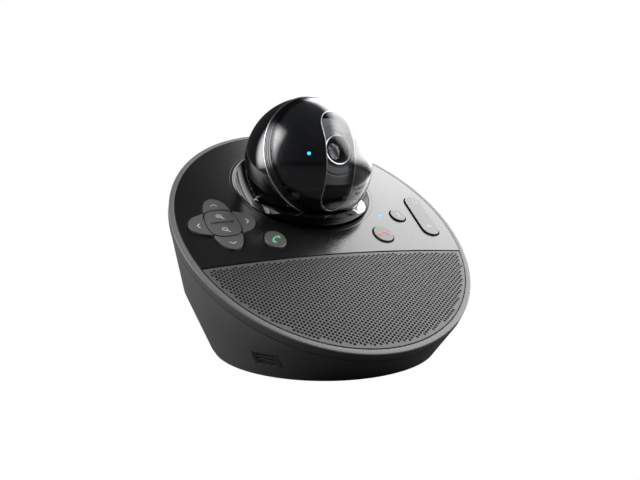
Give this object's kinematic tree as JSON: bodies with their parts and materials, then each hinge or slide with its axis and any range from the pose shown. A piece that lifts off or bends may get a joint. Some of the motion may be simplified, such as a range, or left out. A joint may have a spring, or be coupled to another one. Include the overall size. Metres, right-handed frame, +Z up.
{
  "type": "desktop conference camera",
  "caption": "Ball-shaped camera head that pans and tilts its lens, seated in a round speakerphone base with a sloping key deck and a perforated grille.",
  "frame": {"origin": "on the table, at the bottom centre of the bounding box", "axes": "+Z up, the user sits at -Y, +X to the user's right; the head pans about +Z at x 0, y 15.8 mm and tilts its lens about an axis through the ball's centre"},
  "size_m": [0.153, 0.1512, 0.129],
  "materials": {
    "shell_charcoal": "satin",
    "rubber": "matt",
    "steel": "satin",
    "rim_satin": "satin",
    "deck_gloss": "gloss",
    "grille_metal": "satin",
    "inner_black": "matt",
    "head_gloss": "high gloss",
    "contact_brass": "bright",
    "board_green": "satin",
    "blue_light": "clear, lit from behind",
    "key_grey": "satin",
    "gear_white": "matt",
    "ring_bright": "polished",
    "clear": "clear",
    "carrier_grey": "satin"
  },
  "bodies": {
    "base": {"lower_shell": "shell_charcoal", "bottom_cover": "shell_charcoal", "rubber_feet": "rubber", "shell_screws": "steel", "rim_ring": "rim_satin", "deck_panel": "deck_gloss", "speaker_grille": "grille_metal", "speaker_frame": "inner_black", "speaker_cone": "inner_black", "speaker_magnet": "steel", "seat_dish": "head_gloss", "seat_socket": "contact_brass", "main_board": "board_green", "port_board": "board_green", "power_jack": "inner_black", "data_socket": "steel", "audio_jack": "inner_black", "mic_vent": "inner_black", "mic_capsule": "steel", "key_frame": "inner_black", "key_mat": "rubber", "key_board": "board_green", "deck_light": "blue_light", "zoom_pin": "steel", "volume_pin": "steel", "head_foot": "head_gloss", "pan_bearing": "inner_black", "pan_gear": "gear_white"},
    "head": {"head_base": "inner_black", "rear_shell": "head_gloss", "trim_ring": "ring_bright", "dome": "clear", "window_mask": "head_gloss", "status_light": "blue_light", "tilt_frame": "inner_black", "tilt_pins": "steel", "head_board": "board_green", "pan_motor": "steel", "motor_bracket": "steel", "tilt_motor": "steel"},
    "lens": {"lens_carrier": "carrier_grey", "tilt_gear": "gear_white", "lens_plate": "carrier_grey", "lens_ring": "ring_bright", "lens_barrel": "inner_black", "front_lens": "clear", "inner_lens": "clear", "sensor_board": "board_green"},
    "pan_pinion": {"pan_pinion": "gear_white"},
    "tilt_pinion": {"tilt_pinion": "gear_white"},
    "pad_up": {"pad_up": "key_grey"},
    "pad_down": {"pad_down": "key_grey"},
    "pad_left": {"pad_left": "key_grey"},
    "pad_right": {"pad_right": "key_grey"},
    "call_key": {"call_key": "key_grey"},
    "hangup_key": {"hangup_key": "key_grey"},
    "mute_key": {"mute_key": "key_grey"},
    "zoom_rocker": {"zoom_rocker": "key_grey"},
    "volume_rocker": {"volume_rocker": "key_grey"}
  },
  "joints": [
    {"name": "head_pan", "type": "hinge", "parent": "base", "child": "head", "pos_m": [0, 0.0158, 0.0942], "axis": [0, 0, 1], "range_deg": [-96.2, 83.8]},
    {"name": "head_tilt", "type": "hinge", "parent": "head", "child": "lens", "pos_m": [0, 0.0158, 0.0942], "axis": [-0.9942, -0.108, 0], "range_deg": [-38.6, 16.4]},
    {"name": "pan_pinion_spin", "type": "hinge", "parent": "head", "child": "pan_pinion", "pos_m": [-0.00144, 0.02902, 0.0694], "axis": [0, 0, 1], "range_deg": [-267, 233]},
    {"name": "tilt_pinion_spin", "type": "hinge", "parent": "head", "child": "tilt_pinion", "pos_m": [0.0183, 0.02885, 0.0942], "axis": [-0.9942, -0.108, 0], "range_deg": [-54, 125]},
    {"name": "pad_up_press", "type": "slide", "parent": "base", "child": "pad_up", "axis": [0, 0.5446, -0.8387], "range_m": [0, 0.0008], "stiffness_N_per_m": 600, "springref_m": -0.0002},
    {"name": "pad_down_press", "type": "slide", "parent": "base", "child": "pad_down", "axis": [0, 0.5446, -0.8387], "range_m": [0, 0.0008], "stiffness_N_per_m": 600, "springref_m": -0.0002},
    {"name": "pad_left_press", "type": "slide", "parent": "base", "child": "pad_left", "axis": [0, 0.5446, -0.8387], "range_m": [0, 0.0008], "stiffness_N_per_m": 600, "springref_m": -0.0002},
    {"name": "pad_right_press", "type": "slide", "parent": "base", "child": "pad_right", "axis": [0, 0.5446, -0.8387], "range_m": [0, 0.0008], "stiffness_N_per_m": 600, "springref_m": -0.0002},
    {"name": "call_key_press", "type": "slide", "parent": "base", "child": "call_key", "axis": [0, 0.5446, -0.8387], "range_m": [0, 0.0008], "stiffness_N_per_m": 600, "springref_m": -0.0002},
    {"name": "hangup_key_press", "type": "slide", "parent": "base", "child": "hangup_key", "axis": [0, 0.5446, -0.8387], "range_m": [0, 0.0008], "stiffness_N_per_m": 600, "springref_m": -0.0002},
    {"name": "mute_key_press", "type": "slide", "parent": "base", "child": "mute_key", "axis": [0, 0.5446, -0.8387], "range_m": [0, 0.0008], "stiffness_N_per_m": 600, "springref_m": -0.0002},
    {"name": "zoom_rocker_tip", "type": "hinge", "parent": "base", "child": "zoom_rocker", "pos_m": [-0.0525, 0.00018, 0.06122], "axis": [0.9962, 0.0731, 0.0475], "range_deg": [-4, 4], "stiffness_Nm_per_rad": 0.06},
    {"name": "volume_rocker_tip", "type": "hinge", "parent": "base", "child": "volume_rocker", "pos_m": [0.0621, 0.0006, 0.06149], "axis": [0.9962, -0.0731, -0.0475], "range_deg": [-3, 3], "stiffness_Nm_per_rad": 0.1}
  ],
  "couplings": [
    {"joint": "pan_pinion_spin", "follows": "head_pan", "ratio": 2.7692},
    {"joint": "tilt_pinion_spin", "follows": "head_tilt", "ratio": -3.2}
  ]
}
